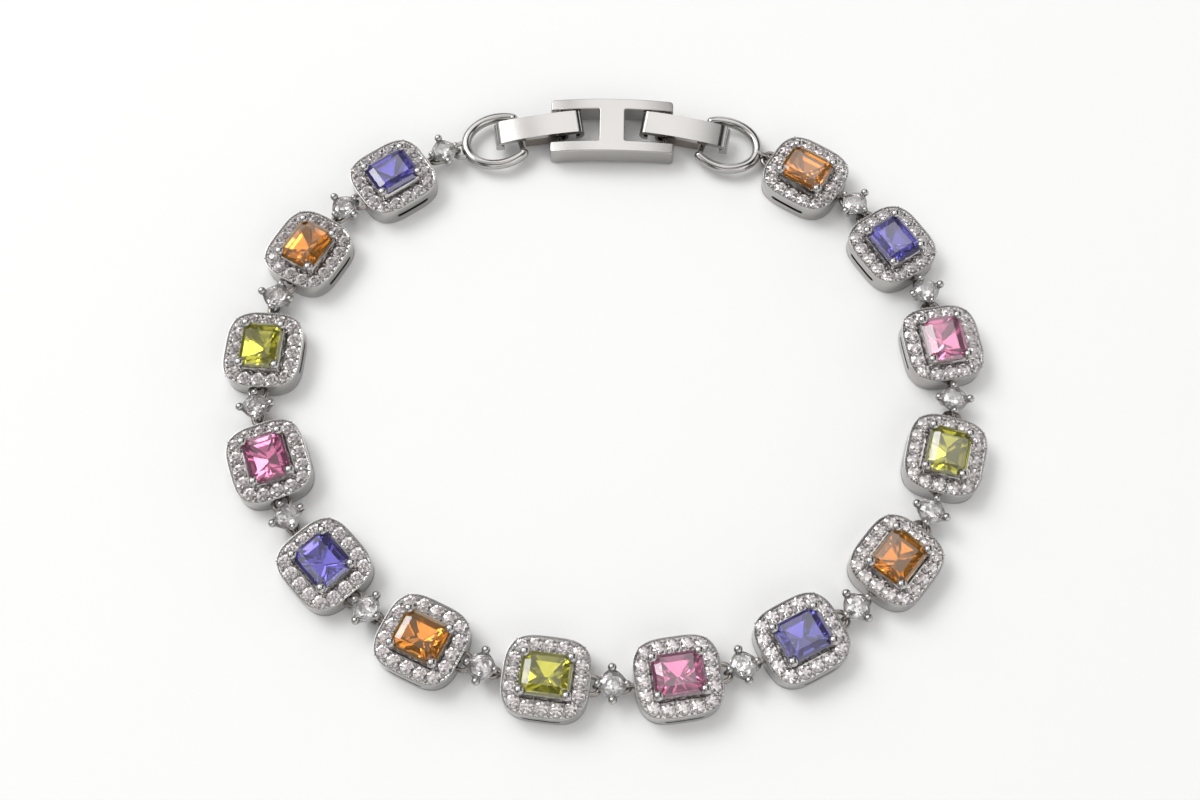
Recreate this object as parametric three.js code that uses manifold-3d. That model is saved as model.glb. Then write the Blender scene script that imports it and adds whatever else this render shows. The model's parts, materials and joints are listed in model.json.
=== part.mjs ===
// A link bracelet that lies closed on a table. Fourteen cushion shaped halo links with coloured
// centre stones alternate with fourteen round spacers, and a double fold over clasp closes it.
// Millimetres, +Z up. The table is z = 0 and the origin is the middle of the bracelet.
import * as THREE from 'three';
import { mergeVertices } from 'three/addons/utils/BufferGeometryUtils.js';
import { ConvexGeometry } from 'three/addons/geometries/ConvexGeometry.js';
import Module from 'manifold-3d';

const wasm = await Module();
wasm.setup();

// Halo link
const LINK_COUNT = 14;
const HALO_LENGTH = 7.3;
const HALO_WIDTH = 6.85;
const HALO_HEIGHT = 2.0;
const HALO_CORNER = 2.0;
const HALO_BULGE = 0.12;
const HALO_WALL = 0.5;
const HALO_PLATE = 0.5;
const SLOT_LENGTH = 3.3;
const SLOT_HEIGHT = 0.35;
const SLOT_RISE = 0.95;

// Centre stone and its seat
const STONE_LENGTH = 4.2;
const STONE_WIDTH = 3.5;
const STONE_CLIP = 0.6;
const STONE_RAISE = 0.85;
const STONE_GIRDLE = 0.08;
const STONE_CROWN = 0.34;
const STONE_DEPTH = 1.15;
const SEAT_WALL = 0.3;
const SEAT_HEIGHT = 0.5;
const SEAT_CLEARANCE = 0.2;
const PRONG_INSET = 0.1;
const PRONG_POST = 0.36;
const PRONG_BALL = 0.68;
const PRONG_RISE = 0.43;

// Spacer
const ROUND_DIAMETER = 2.1;
const ROUND_TABLE = 1.16;
const ROUND_CROWN = 0.32;
const ROUND_GIRDLE_RISE = 1.84;
const BASKET_NECK = 1.32;
const BASKET_RIM_INSET = 0.1;
const BASKET_TOP = 1.66;
const BASKET_FOOT = 0.3;
const SPACER_POST = 0.46;
const SPACER_PRONG_BITE = 0.07;
const SPACER_BALL = 0.48;
const SPACER_BALL_RISE = 0.28;

// Wire joints between the links
const JOINT_RISE = 0.95;
const LOOP_WIRE = 0.32;
const LOOP_WIDTH = 1.96;
const SPACER_LOOP_WIDTH = 1.36;
const LOOP_SLACK = 0.2;
const RING_WIRE = 0.26;
const RING_CLEARANCE = 0.17;
const RING_STAND = 0.2;
const WIRE_EMBED = 0.2;

// Clasp frame
const FRAME_LENGTH = 11.7;
const FRAME_WIDTH = 5.8;
const FRAME_THICKNESS = 2.0;
const FRAME_ARCH = 0.45;
const FRAME_RAIL = 1.15;
const FRAME_CROSSBAR = 2.4;
const FRAME_CORNER = 0.35;
const PIN_SPAN = 10.0;
const PIN_DIAMETER = 0.5;
const FRAME_PIN_RISE = 1.35;

// Clasp levers
const LEVER_PIN_SPAN = 4.0;
const LEVER_OVERHANG = 2.25;
const LEVER_WIDTH = 2.35;
const LEVER_CORE_WIDTH = 1.75;
const LEVER_PLATE = 0.45;
const LEVER_TOP = 1.3;
const LEVER_ARCH = 0.12;
const LEVER_END = 1.45;
const LEVER_LIP = 0.75;
const LEVER_BORE = 0.95;
const LEVER_BARREL_WALL = 0.28;
const LEVER_MOUTH = 1.1;

// Clasp rings
const CLASP_RING_DEPTH = 5.1;
const CLASP_RING_WIDTH = 5.1;
const CLASP_RING_PINCH = 0.78;
const CLASP_RING_WIRE = 0.82;
const RING_PIN_RISE = 1.15;

// The route of the string of links: the shape of its plan outline, as shares of its size, which is
// solved below from the lengths of the links. A row for each number of waves around the loop.
const ROUTE_START = 78.6;
const ROUTE = [
  { waves: 1, cos: 0.0042, sin: 0.0864 },
  { waves: 2, cos: 0.0668, sin: -0.0069 },
  { waves: 3, cos: -0.0008, sin: 0.0105 },
  { waves: 4, cos: -0.005, sin: -0.0023 },
];

const METAL = { color: 0xd6d4d2, roughness: 0.16, metalness: 1.0 };
const STONE_COLORS = [
  { name: 'blue', color: 0x4a48b4 },
  { name: 'orange', color: 0xe8922e },
  { name: 'green', color: 0xb3b52a },
  { name: 'pink', color: 0xe06aa2 },
];

// Solids from three.js geometries
function solidOf(geometry) {
  const bare = new THREE.BufferGeometry();
  bare.setAttribute('position', geometry.getAttribute('position').clone());
  if (geometry.index) bare.setIndex(geometry.index.clone());
  const merged = mergeVertices(bare, 1e-4);
  const index = merged.index.array;
  const corners = [];
  for (let i = 0; i < index.length; i += 3) {
    const [a, b, c] = [index[i], index[i + 1], index[i + 2]];
    if (a !== b && b !== c && c !== a) corners.push(a, b, c);
  }
  const make = (triVerts) => new wasm.Manifold(new wasm.Mesh({
    numProp: 3,
    vertProperties: new Float32Array(merged.getAttribute('position').array),
    triVerts: new Uint32Array(triVerts),
  }));
  const solid = make(corners);
  if (solid.volume() > 0) return solid;
  const turned = [];
  for (let i = 0; i < corners.length; i += 3) turned.push(corners[i], corners[i + 2], corners[i + 1]);
  return make(turned);
}

function join(solids) {
  return solids.reduce((sum, solid) => sum.add(solid));
}

function geometryOf(solid) {
  const mesh = solid.getMesh();
  const geometry = new THREE.BufferGeometry();
  geometry.setAttribute('position', new THREE.BufferAttribute(new Float32Array(mesh.vertProperties), 3));
  geometry.setIndex(new THREE.BufferAttribute(new Uint32Array(mesh.triVerts), 1));
  geometry.computeVertexNormals();
  return geometry;
}

function box(x, y, z, cx, cy, cz) {
  return solidOf(new THREE.BoxGeometry(x, y, z).translate(cx, cy, cz));
}

// A turned post: the profile rows are [radius, height], from the bottom of the axis to its top.
function turned(profile, sides, cx = 0, cy = 0, spin = 0) {
  const points = profile.map(([r, z]) => new THREE.Vector2(r, z));
  const lathe = new THREE.LatheGeometry(points, sides, spin);
  return solidOf(lathe.rotateX(Math.PI / 2).translate(cx, cy, 0));
}

function prism(points, bottom, top, holes = []) {
  const shape = new THREE.Shape(points);
  for (const hole of holes) shape.holes.push(new THREE.Path(hole));
  const block = new THREE.ExtrudeGeometry(shape, { depth: top - bottom, bevelEnabled: false });
  return solidOf(block.translate(0, 0, bottom));
}

function wireProfile(radius, sides) {
  const points = [];
  for (let i = 0; i < sides; i++) {
    const a = (2 * Math.PI * i) / sides;
    points.push(new THREE.Vector2(radius * Math.cos(a), radius * Math.sin(a)));
  }
  return new THREE.Shape(points);
}

function wire(curve, radius, sides, steps) {
  return solidOf(new THREE.ExtrudeGeometry(wireProfile(radius, sides), {
    extrudePath: curve, steps, bevelEnabled: false,
  }));
}

// A cushion outline: a rectangle with round corners whose sides swell out in the middle.
function cushion(length, width, corner, bulge, steps) {
  const hx = length / 2 - bulge;
  const hy = width / 2 - bulge;
  const corners = [[1, 1, 0], [-1, 1, 90], [-1, -1, 180], [1, -1, 270]];
  const points = [];
  for (const [sx, sy, start] of corners) {
    for (let i = 0; i <= steps; i++) {
      const a = THREE.MathUtils.degToRad(start + (90 * i) / steps);
      points.push(new THREE.Vector2(
        sx * (hx - corner) + corner * Math.cos(a), sy * (hy - corner) + corner * Math.sin(a)));
    }
    if (bulge > 0) {
      const side = { 0: [0, hy + bulge], 90: [-hx - bulge, 0], 180: [0, -hy - bulge], 270: [hx + bulge, 0] };
      points.push(new THREE.Vector2(...side[start]));
    }
  }
  return points;
}

function clippedBox(halfX, halfY, clip) {
  return [
    [halfX, halfY - clip], [halfX - clip, halfY], [-halfX + clip, halfY], [-halfX, halfY - clip],
    [-halfX, -halfY + clip], [-halfX + clip, -halfY], [halfX - clip, -halfY], [halfX, -halfY + clip],
  ];
}

function ringOfPoints(radius, sides, z, turn = 0) {
  return Array.from({ length: sides }, (_, i) => {
    const a = (2 * Math.PI * (i + turn)) / sides;
    return new THREE.Vector3(radius * Math.cos(a), radius * Math.sin(a), z);
  });
}

// A bent wire that leaves a wall at x = 0, goes round and comes back to it. It lies flat, or stands.
class BentWire extends THREE.Curve {
  constructor(halfWidth, reach, embed, standing, fullness) {
    super();
    Object.assign(this, { halfWidth, reach, embed, standing, fullness });
  }

  getPoint(u, target = new THREE.Vector3()) {
    const a = Math.PI * u;
    const across = -this.halfWidth * Math.sign(Math.cos(a)) * Math.abs(Math.cos(a)) ** this.fullness;
    const out = -this.embed + (this.reach + this.embed) * Math.abs(Math.sin(a)) ** this.fullness;
    return this.standing ? target.set(out, 0, across) : target.set(out, across, 0);
  }
}

// Where two links meet, the ring of one turns round the bar of the other's D loop.
const ringHalf = LOOP_WIRE / 2 + RING_CLEARANCE + RING_WIRE / 2;
const ringOffset = LOOP_WIRE / 2 + RING_STAND;
const loopOffset = ringHalf + RING_WIRE / 2 + LOOP_SLACK;

// The D loop stands out of a wall at x = wall, towards +X.
function frontLoop(wall, width = LOOP_WIDTH, embed = WIRE_EMBED) {
  const curve = new BentWire((width - LOOP_WIRE) / 2, loopOffset, embed, false, 0.72);
  return wire(curve, LOOP_WIRE / 2, 5, 5).translate([wall, 0, JOINT_RISE]);
}

// The staple ring stands out of a wall at x = -wall, towards -X.
function backRing(wall, embed = WIRE_EMBED) {
  const curve = new BentWire(ringHalf, ringOffset + ringHalf, embed, true, 0.8);
  return wire(curve, RING_WIRE / 2, 5, 5).rotate([0, 0, 180]).translate([-wall, 0, JOINT_RISE]);
}

const girdleRise = HALO_HEIGHT + STONE_RAISE;

function haloSolid() {
  const seatX = STONE_LENGTH / 2 - SEAT_CLEARANCE - PRONG_INSET + SEAT_WALL / 2;
  const seatY = STONE_WIDTH / 2 - SEAT_CLEARANCE - PRONG_INSET + SEAT_WALL / 2;
  const outline = cushion(HALO_LENGTH, HALO_WIDTH, HALO_CORNER, HALO_BULGE, 3);
  const hollow = cushion(
    HALO_LENGTH - 2 * HALO_WALL, HALO_WIDTH - 2 * HALO_WALL, HALO_CORNER - HALO_WALL, 0, 1);
  let body = prism(outline, 0, HALO_HEIGHT);
  body = body.subtract(prism(hollow, -1, HALO_HEIGHT - HALO_PLATE));
  const slotY = HALO_WIDTH / 2 - HALO_WALL / 2;
  for (const side of [1, -1]) {
    body = body.subtract(box(SLOT_LENGTH, 2 * HALO_WALL, SLOT_HEIGHT, 0, side * slotY, SLOT_RISE));
  }
  body = body.add(box(
    2 * seatX, 2 * seatY, HALO_PLATE / 2 + SEAT_HEIGHT,
    0, 0, HALO_HEIGHT + (SEAT_HEIGHT - HALO_PLATE / 2) / 2));
  const well = 2 * HALO_HEIGHT;
  body = body.subtract(box(2 * (seatX - SEAT_WALL), 2 * (seatY - SEAT_WALL), well, 0, 0, HALO_HEIGHT));
  const top = girdleRise + PRONG_RISE;
  const post = turned([
    [0, HALO_HEIGHT - HALO_PLATE / 2], [PRONG_POST / 2, HALO_HEIGHT - HALO_PLATE / 2],
    [PRONG_BALL / 2, top], [0, top + PRONG_BALL * 0.4]], 5);
  for (const [sx, sy] of [[1, 1], [-1, 1], [-1, -1], [1, -1]]) {
    const x = sx * (STONE_LENGTH / 2 - PRONG_INSET);
    const y = sy * (STONE_WIDTH / 2 - PRONG_INSET);
    body = body.add(post.translate([x, y, 0]));
  }
  return join([body, frontLoop(HALO_LENGTH / 2), backRing(HALO_LENGTH / 2)]);
}

// A radiant cut: a clipped rectangle with a stepped crown, a table and a keel.
function centreStoneSolid() {
  const [hx, hy] = [STONE_LENGTH / 2, STONE_WIDTH / 2];
  const row = (share, z, clipShare = share) => clippedBox(hx * share, hy * share, STONE_CLIP * clipShare)
    .map(([x, y]) => new THREE.Vector3(x, y, z));
  const top = girdleRise + STONE_GIRDLE;
  return solidOf(new ConvexGeometry([
    ...row(1, girdleRise), ...row(1, top), ...row(0.8, top + STONE_CROWN * 0.68),
    ...row(0.56, top + STONE_CROWN),
    new THREE.Vector3(0.3 * hx, 0, girdleRise - STONE_DEPTH),
    new THREE.Vector3(-0.3 * hx, 0, girdleRise - STONE_DEPTH),
  ]));
}

const spacerReach = BASKET_NECK / 2;

function spacerSolid() {
  const rim = ROUND_DIAMETER / 2 - BASKET_RIM_INSET;
  const basket = turned([
    [0, BASKET_FOOT], [BASKET_NECK * 0.32, BASKET_FOOT], [BASKET_NECK / 2, JOINT_RISE],
    [rim, BASKET_TOP], [0, BASKET_TOP]], 8);
  const stone = solidOf(new ConvexGeometry([
    ...ringOfPoints(rim - BASKET_RIM_INSET, 8, BASKET_TOP - BASKET_RIM_INSET / 2),
    ...ringOfPoints(ROUND_DIAMETER / 2, 8, ROUND_GIRDLE_RISE),
    ...ringOfPoints(ROUND_TABLE / 2, 8, ROUND_GIRDLE_RISE + ROUND_CROWN, 0.5),
  ]));
  const ballRise = ROUND_GIRDLE_RISE + SPACER_BALL_RISE;
  const tip = [[SPACER_BALL / 2, ballRise], [0, ballRise + SPACER_BALL * 0.45]];
  const foot = SPACER_POST * 0.2;
  const post = turned([[0, foot], [SPACER_POST / 2, foot + SPACER_POST * 0.3], ...tip], 5);
  const prong = turned([[0, BASKET_TOP], [SPACER_POST / 2, BASKET_TOP], ...tip], 5);
  const reach = ROUND_DIAMETER / 2 + SPACER_POST / 2 - SPACER_PRONG_BITE;
  const prongs = [post, prong, post, prong].map(
    (solid, i) => solid.translate([0, reach, 0]).rotate([0, 0, 90 * i]));
  const loop = frontLoop(spacerReach, SPACER_LOOP_WIDTH, BASKET_NECK / 2);
  return join([basket, stone, ...prongs, loop, backRing(spacerReach)]);
}

function rod(diameter, length, sides = 10) {
  return new THREE.CylinderGeometry(diameter / 2, diameter / 2, length, sides);
}

// The frame's own frame: x from its right end to its left end, z = 0 at the foot of its ends.
function frameSolid() {
  const half = FRAME_LENGTH / 2;
  const steps = 8;
  const arch = (x) => FRAME_ARCH * (1 - (x / half) ** 2);
  const stations = Array.from({ length: steps + 1 }, (_, i) => -half + (FRAME_LENGTH * i) / steps);
  const side = [
    ...stations.map((x) => new THREE.Vector2(x, arch(x))),
    ...stations.toReversed().map((x) => new THREE.Vector2(x, arch(x) + FRAME_THICKNESS)),
  ];
  const band = new THREE.ExtrudeGeometry(new THREE.Shape(side), { depth: FRAME_WIDTH, bevelEnabled: false });
  band.rotateX(Math.PI / 2).translate(0, FRAME_WIDTH / 2, 0);
  let frame = solidOf(band);
  frame = frame.intersect(prism(
    cushion(FRAME_LENGTH, FRAME_WIDTH, FRAME_CORNER, 0, 2), -1, FRAME_THICKNESS + FRAME_ARCH + 1));
  const windowWidth = FRAME_WIDTH - 2 * FRAME_RAIL;
  const windowLength = half - FRAME_CROSSBAR / 2 + 1;
  const tall = 3 * (FRAME_THICKNESS + FRAME_ARCH);
  for (const end of [1, -1]) {
    const x = end * (FRAME_CROSSBAR / 2 + windowLength / 2);
    frame = frame.subtract(box(windowLength, windowWidth, tall, x, 0, FRAME_THICKNESS / 2));
    const pin = solidOf(rod(PIN_DIAMETER, FRAME_WIDTH - FRAME_RAIL).translate(
      (end * PIN_SPAN) / 2, 0, FRAME_PIN_RISE));
    frame = frame.add(pin);
  }
  return frame;
}

// A lever's own frame: its hinge pin is at the origin and its outer end towards +X.
function leverSolid() {
  const inner = -LEVER_OVERHANG;
  const outer = LEVER_PIN_SPAN + LEVER_OVERHANG;
  const middle = (inner + outer) / 2;
  const half = (outer - inner) / 2;
  const rise = (x) => LEVER_TOP - LEVER_ARCH * ((x - middle) / half) ** 2;
  const slab = LEVER_PLATE;
  const bottom = LEVER_TOP - LEVER_END;
  const tops = [outer - 0.25, outer - 1.6, middle + 1, middle - 1, inner + 1.6, inner + 0.25];
  const side = [
    [inner + 0.25, bottom], [inner + LEVER_LIP, bottom], [inner + LEVER_LIP, bottom + slab],
    [inner + slab, bottom + slab], [inner + slab, rise(inner) - slab], [middle, LEVER_TOP - slab],
    [outer - slab, rise(outer) - slab], [outer - slab, bottom + slab], [outer - LEVER_LIP, bottom + slab],
    [outer - LEVER_LIP, bottom], [outer - 0.25, bottom], [outer, bottom + 0.3], [outer, rise(outer) - 0.3],
    ...tops.map((x) => [x, rise(x)]), [inner, rise(inner) - 0.3], [inner, bottom + 0.3],
  ];
  const barrel = LEVER_BORE / 2 + LEVER_BARREL_WALL;
  const mouth = LEVER_PIN_SPAN - LEVER_MOUTH / 2;
  const core = [
    [-barrel, -barrel * 0.5], [-barrel * 0.5, -barrel], [mouth, -barrel],
    [mouth, LEVER_TOP - slab / 2 - LEVER_ARCH], [-barrel, LEVER_TOP - slab / 2 - LEVER_ARCH],
  ];
  const slice = (rows, width) => {
    const shape = new THREE.Shape(rows.map(([x, z]) => new THREE.Vector2(x, z)));
    const block = new THREE.ExtrudeGeometry(shape, { depth: width, bevelEnabled: false });
    return solidOf(block.rotateX(Math.PI / 2).translate(0, width / 2, 0));
  };
  const bore = solidOf(rod(LEVER_BORE, 2 * LEVER_WIDTH, 12));
  return slice(side, LEVER_WIDTH).add(slice(core, LEVER_CORE_WIDTH)).subtract(bore);
}

// A horseshoe of round wire. Its pin lies at the origin and its round end towards +X.
class Horseshoe extends THREE.Curve {
  getPoint(u, target = new THREE.Vector3()) {
    const a = Math.PI * u;
    const s = Math.sin(a) ** 0.9;
    const open = CLASP_RING_PINCH + (1 - CLASP_RING_PINCH) * Math.min(1, 2.2 * s);
    const across = -Math.sign(Math.cos(a)) * Math.abs(Math.cos(a)) ** 0.8;
    return target.set(CLASP_RING_DEPTH * s, (across * open * CLASP_RING_WIDTH) / 2, 0);
  }
}

function claspRingSolid(joint) {
  const shoe = wire(new Horseshoe(), CLASP_RING_WIRE / 2, 8, 14);
  const pin = solidOf(rod(PIN_DIAMETER, CLASP_RING_WIDTH * CLASP_RING_PINCH));
  return join([shoe, pin, joint]);
}

// The string is a closed chain of rigid lengths between joints, walked round the route.
const haloReach = HALO_LENGTH / 2;
const ringReach = CLASP_RING_DEPTH + CLASP_RING_WIRE / 2;
const haloSpan = ringOffset + HALO_LENGTH + loopOffset;
const spacerSpan = ringOffset + 2 * spacerReach + loopOffset;
const chain = [
  { name: 'clasp_frame', span: PIN_SPAN, rise: FRAME_PIN_RISE },
  { name: 'clasp_lever_left', span: LEVER_PIN_SPAN, rise: RING_PIN_RISE },
  { name: 'clasp_ring_left', span: ringReach + loopOffset, rise: JOINT_RISE },
];
for (let i = 1; i <= LINK_COUNT; i++) {
  chain.push({ name: `spacer_${i}`, span: spacerSpan, rise: JOINT_RISE });
  chain.push({ name: `halo_${i}`, span: haloSpan, rise: JOINT_RISE });
}
chain.push({ name: 'clasp_ring_right', span: ringReach + ringOffset, rise: RING_PIN_RISE });
chain.push({ name: 'clasp_lever_right', span: LEVER_PIN_SPAN, rise: FRAME_PIN_RISE });

function routePoint(angle, size) {
  let r = size;
  for (const { waves, cos, sin } of ROUTE) {
    r += size * (cos * Math.cos(waves * angle) + sin * Math.sin(waves * angle));
  }
  return new THREE.Vector3(r * Math.cos(angle), r * Math.sin(angle), 0);
}

function bisect(low, high, isLow) {
  for (let i = 0; i < 50; i++) {
    const middle = (low + high) / 2;
    if (isLow(middle)) low = middle;
    else high = middle;
  }
  return (low + high) / 2;
}

function walk(size) {
  let angle = THREE.MathUtils.degToRad(ROUTE_START);
  let rise = FRAME_PIN_RISE;
  const joints = [routePoint(angle, size).setZ(rise)];
  for (const piece of chain) {
    const here = joints.at(-1).clone().setZ(0);
    const flat = Math.sqrt(piece.span ** 2 - (piece.rise - rise) ** 2);
    angle = bisect(angle, angle + Math.PI, (a) => routePoint(a, size).distanceTo(here) < flat);
    rise = piece.rise;
    joints.push(routePoint(angle, size).setZ(rise));
  }
  return { joints, turned: angle - THREE.MathUtils.degToRad(ROUTE_START) };
}

const total = chain.reduce((sum, piece) => sum + piece.span, 0);
const routeSize = bisect(total / 12, total / 3, (size) => walk(size).turned > 2 * Math.PI);
const joints = walk(routeSize).joints;

// The place of a piece: its origin, its x axis towards the next joint and its z axis up.
function place(mesh, origin, toward) {
  const x = toward.clone().sub(origin).normalize();
  const y = new THREE.Vector3(0, 0, 1).cross(x).normalize();
  const z = x.clone().cross(y);
  mesh.quaternion.setFromRotationMatrix(new THREE.Matrix4().makeBasis(x, y, z));
  mesh.position.copy(origin);
}

const bracelet = new THREE.Group();

function addPiece(name, solid, finish, origin, toward) {
  const mesh = new THREE.Mesh(geometryOf(solid), new THREE.MeshStandardMaterial(finish));
  mesh.name = name;
  place(mesh, origin, toward);
  bracelet.add(mesh);
}

const halo = haloSolid();
const centreStone = centreStoneSolid();
const spacer = spacerSolid();
const lever = leverSolid();

chain.forEach((piece, i) => {
  const [from, to] = [joints[i], joints[i + 1]];
  const along = to.clone().sub(from).normalize();
  const [kind, number] = piece.name.split('_');
  if (kind === 'halo' || kind === 'spacer') {
    const reach = kind === 'halo' ? haloReach : spacerReach;
    const origin = from.clone().addScaledVector(along, ringOffset + reach).setZ(0);
    const toward = origin.clone().add(along);
    const label = number.padStart(2, '0');
    addPiece(`${kind}_${label}`, kind === 'halo' ? halo : spacer, METAL, origin, toward);
    if (kind === 'halo') {
      const { color } = STONE_COLORS[(number - 1) % STONE_COLORS.length];
      addPiece(`stone_${label}`, centreStone, { color, roughness: 0.04, metalness: 0 }, origin, toward);
    }
  } else if (piece.name === 'clasp_frame') {
    const origin = from.clone().add(to).divideScalar(2).setZ(0);
    addPiece(piece.name, frameSolid(), METAL, origin, origin.clone().add(along));
  } else if (piece.name.startsWith('clasp_lever')) {
    const [pin, end] = piece.name.endsWith('left') ? [from, to] : [to, from];
    addPiece(piece.name, lever, METAL, pin, end);
  } else {
    const left = piece.name.endsWith('left');
    const drop = JOINT_RISE;
    const ring = backRing(ringReach, CLASP_RING_WIRE / 2).rotate([0, 0, 180]);
    const joint = left ? frontLoop(ringReach) : ring;
    const [pin, end] = left ? [from, to] : [to, from];
    addPiece(piece.name, claspRingSolid(joint.translate([0, 0, -drop])), METAL, pin, end);
  }
});

// The origin is the middle of the whole bracelet, on the table.
bracelet.updateMatrixWorld(true);
const bounds = new THREE.Box3().setFromObject(bracelet, true);
const centre = bounds.getCenter(new THREE.Vector3());
bracelet.position.set(-centre.x, -centre.y, -bounds.min.z);
bracelet.updateMatrixWorld(true);

export default bracelet;
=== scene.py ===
"""Dresses a packed link bracelet for a studio photograph.

Every piece is modelled in millimetres about its own origin, and is then copied to the places
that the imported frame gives, in metres.
"""

import json
import logging
import math
from collections.abc import Callable, Iterator
from contextlib import contextmanager
from dataclasses import dataclass, field
from enum import Enum

import bmesh
import bpy
from bpy.types import Material, Node, NodeTree, Object
from mathutils import Matrix, Vector

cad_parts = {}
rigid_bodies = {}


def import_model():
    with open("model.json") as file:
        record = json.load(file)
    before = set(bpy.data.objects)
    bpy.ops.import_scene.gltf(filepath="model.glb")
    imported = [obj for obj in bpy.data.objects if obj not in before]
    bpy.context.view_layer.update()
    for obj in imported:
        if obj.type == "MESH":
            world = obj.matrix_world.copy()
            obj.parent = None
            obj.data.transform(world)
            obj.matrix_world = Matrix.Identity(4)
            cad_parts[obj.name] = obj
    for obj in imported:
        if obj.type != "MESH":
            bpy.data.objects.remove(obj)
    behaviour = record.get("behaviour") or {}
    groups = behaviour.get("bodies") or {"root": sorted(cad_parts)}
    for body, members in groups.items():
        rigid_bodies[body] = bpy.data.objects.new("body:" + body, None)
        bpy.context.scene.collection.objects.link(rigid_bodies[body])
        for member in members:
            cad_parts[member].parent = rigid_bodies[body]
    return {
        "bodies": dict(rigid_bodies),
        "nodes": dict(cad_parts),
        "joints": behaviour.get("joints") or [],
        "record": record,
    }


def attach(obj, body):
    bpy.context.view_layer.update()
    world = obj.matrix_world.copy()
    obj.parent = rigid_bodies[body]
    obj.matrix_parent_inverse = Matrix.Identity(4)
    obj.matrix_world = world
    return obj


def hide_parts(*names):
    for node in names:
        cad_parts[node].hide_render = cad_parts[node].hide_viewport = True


Point = tuple[float, float]
Triple = tuple[float, float, float]

LOG = logging.getLogger("bracelet")
MM = 0.001
SHARP_ANGLE = 50.0
LEVEL_NORMAL = 0.9
ROUND_SHADE = 60.0
PRONG_SHADE = 45.0
PLATE_SHADE = 40.0
CLASP_SHADE = 35.0
FLAT_WEIGHT = 90
WIRE_WELD = 0.001
ROD_SIDES = 24
ROD_EDGE = 0.12
RELIEF_DEPTH = 0.02


class Body(Enum):
    """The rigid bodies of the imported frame."""

    STRING = "string"
    LEVER_LEFT = "lever_left"
    LEVER_RIGHT = "lever_right"


class Side(Enum):
    """The two ends of the clasp."""

    LEFT = "left"
    RIGHT = "right"


class End(Enum):
    """The two ends of a link, along the string."""

    FRONT = 1
    BACK = -1


class Axis(Enum):
    """The three axes of a piece."""

    X = 0
    Y = 1
    Z = 2


class StoneColour(Enum):
    """The four colours of the centre stones, in their order along the bracelet."""

    BLUE = 0
    ORANGE = 1
    GREEN = 2
    PINK = 3


# Work in the Blender scene


def clear_selection() -> None:
    """Deselects every object."""
    bpy.ops.object.select_all(action="DESELECT")


def make_active(obj: Object) -> None:
    """Selects one object alone and makes it the active one.

    Args:
        obj: The object to work on.
    """
    clear_selection()
    obj.select_set(True)
    bpy.context.view_layer.objects.active = obj


@contextmanager
def editing(obj: Object) -> Iterator[None]:
    """Opens an object in edit mode with nothing selected, and closes it again.

    Args:
        obj: The mesh object to edit.
    """
    make_active(obj)
    bpy.ops.object.mode_set(mode="EDIT")
    bpy.ops.mesh.select_all(action="DESELECT")
    yield
    bpy.ops.object.mode_set(mode="OBJECT")


def pick_level(obj: Object, up: bool = True, down: bool = True) -> None:
    """Selects the level faces of the object in edit mode.

    Args:
        obj: The object in edit mode.
        up: Whether those that face up are wanted.
        down: Whether those that face down are wanted.
    """
    bpy.ops.mesh.select_mode(type="FACE")
    mesh = bmesh.from_edit_mesh(obj.data)
    for face in mesh.faces:
        rise = face.normal.z
        face.select_set((up and rise > LEVEL_NORMAL) or (down and rise < -LEVEL_NORMAL))
    bmesh.update_edit_mesh(obj.data)


def pick_along(obj: Object, axis: Axis, length: float) -> None:
    """Selects the edges of the object in edit mode that run along an axis.

    Args:
        obj: The object in edit mode.
        axis: The axis.
        length: How far along it a wanted edge reaches at least.
    """
    bpy.ops.mesh.select_mode(type="EDGE")
    mesh = bmesh.from_edit_mesh(obj.data)
    for edge in mesh.edges:
        first, second = edge.verts
        edge.select_set(abs(first.co[axis.value] - second.co[axis.value]) > length)
    bmesh.update_edit_mesh(obj.data)


def move_points(obj: Object, move: Callable[[Vector], Vector]) -> None:
    """Moves the points of the object in edit mode.

    Args:
        obj: The object in edit mode.
        move: Gives a point's new place from its old one.
    """
    mesh = bmesh.from_edit_mesh(obj.data)
    for vertex in mesh.verts:
        vertex.co = move(vertex.co)
    bmesh.update_edit_mesh(obj.data)


def face_outward(weld: float = 0.0) -> None:
    """Turns the faces of the object in edit mode outwards.

    Args:
        weld: The distance within which its points are merged first, if any.
    """
    bpy.ops.mesh.select_all(action="SELECT")
    if weld:
        bpy.ops.mesh.remove_doubles(threshold=weld)
    bpy.ops.mesh.normals_make_consistent(inside=False)


def apply_place(obj: Object) -> None:
    """Puts the object's place, turn and scale into its mesh."""
    make_active(obj)
    bpy.ops.object.transform_apply(location=True, rotation=True, scale=True)


def apply_modifier(obj: Object, kind: str, **settings: object) -> None:
    """Adds a modifier, sets it and applies it.

    Args:
        obj: The object to change.
        kind: Blender's name for the kind of modifier.
        **settings: The modifier's settings.
    """
    make_active(obj)
    modifier = obj.modifiers.new(kind.title(), kind)
    for name, value in settings.items():
        setattr(modifier, name, value)
    bpy.ops.object.modifier_apply(modifier=modifier.name)


def carve(obj: Object, cutter: Object, operation: str = "DIFFERENCE") -> None:
    """Cuts an object with a second one, which is used up."""
    apply_modifier(obj, "BOOLEAN", object=cutter, operation=operation, solver="EXACT")
    bpy.data.objects.remove(cutter)


def round_edges(obj: Object, width: float, segments: int, angle: float = SHARP_ANGLE) -> None:
    """Rounds the edges of an object that are sharper than an angle in degrees."""
    apply_modifier(
        obj, "BEVEL", width=width, segments=segments, limit_method="ANGLE",
        angle_limit=math.radians(angle))


def soften(obj: Object, angle: float) -> None:
    """Shades an object smooth, apart from edges sharper than an angle in degrees."""
    make_active(obj)
    bpy.ops.object.shade_smooth_by_angle(angle=math.radians(angle))


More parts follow.
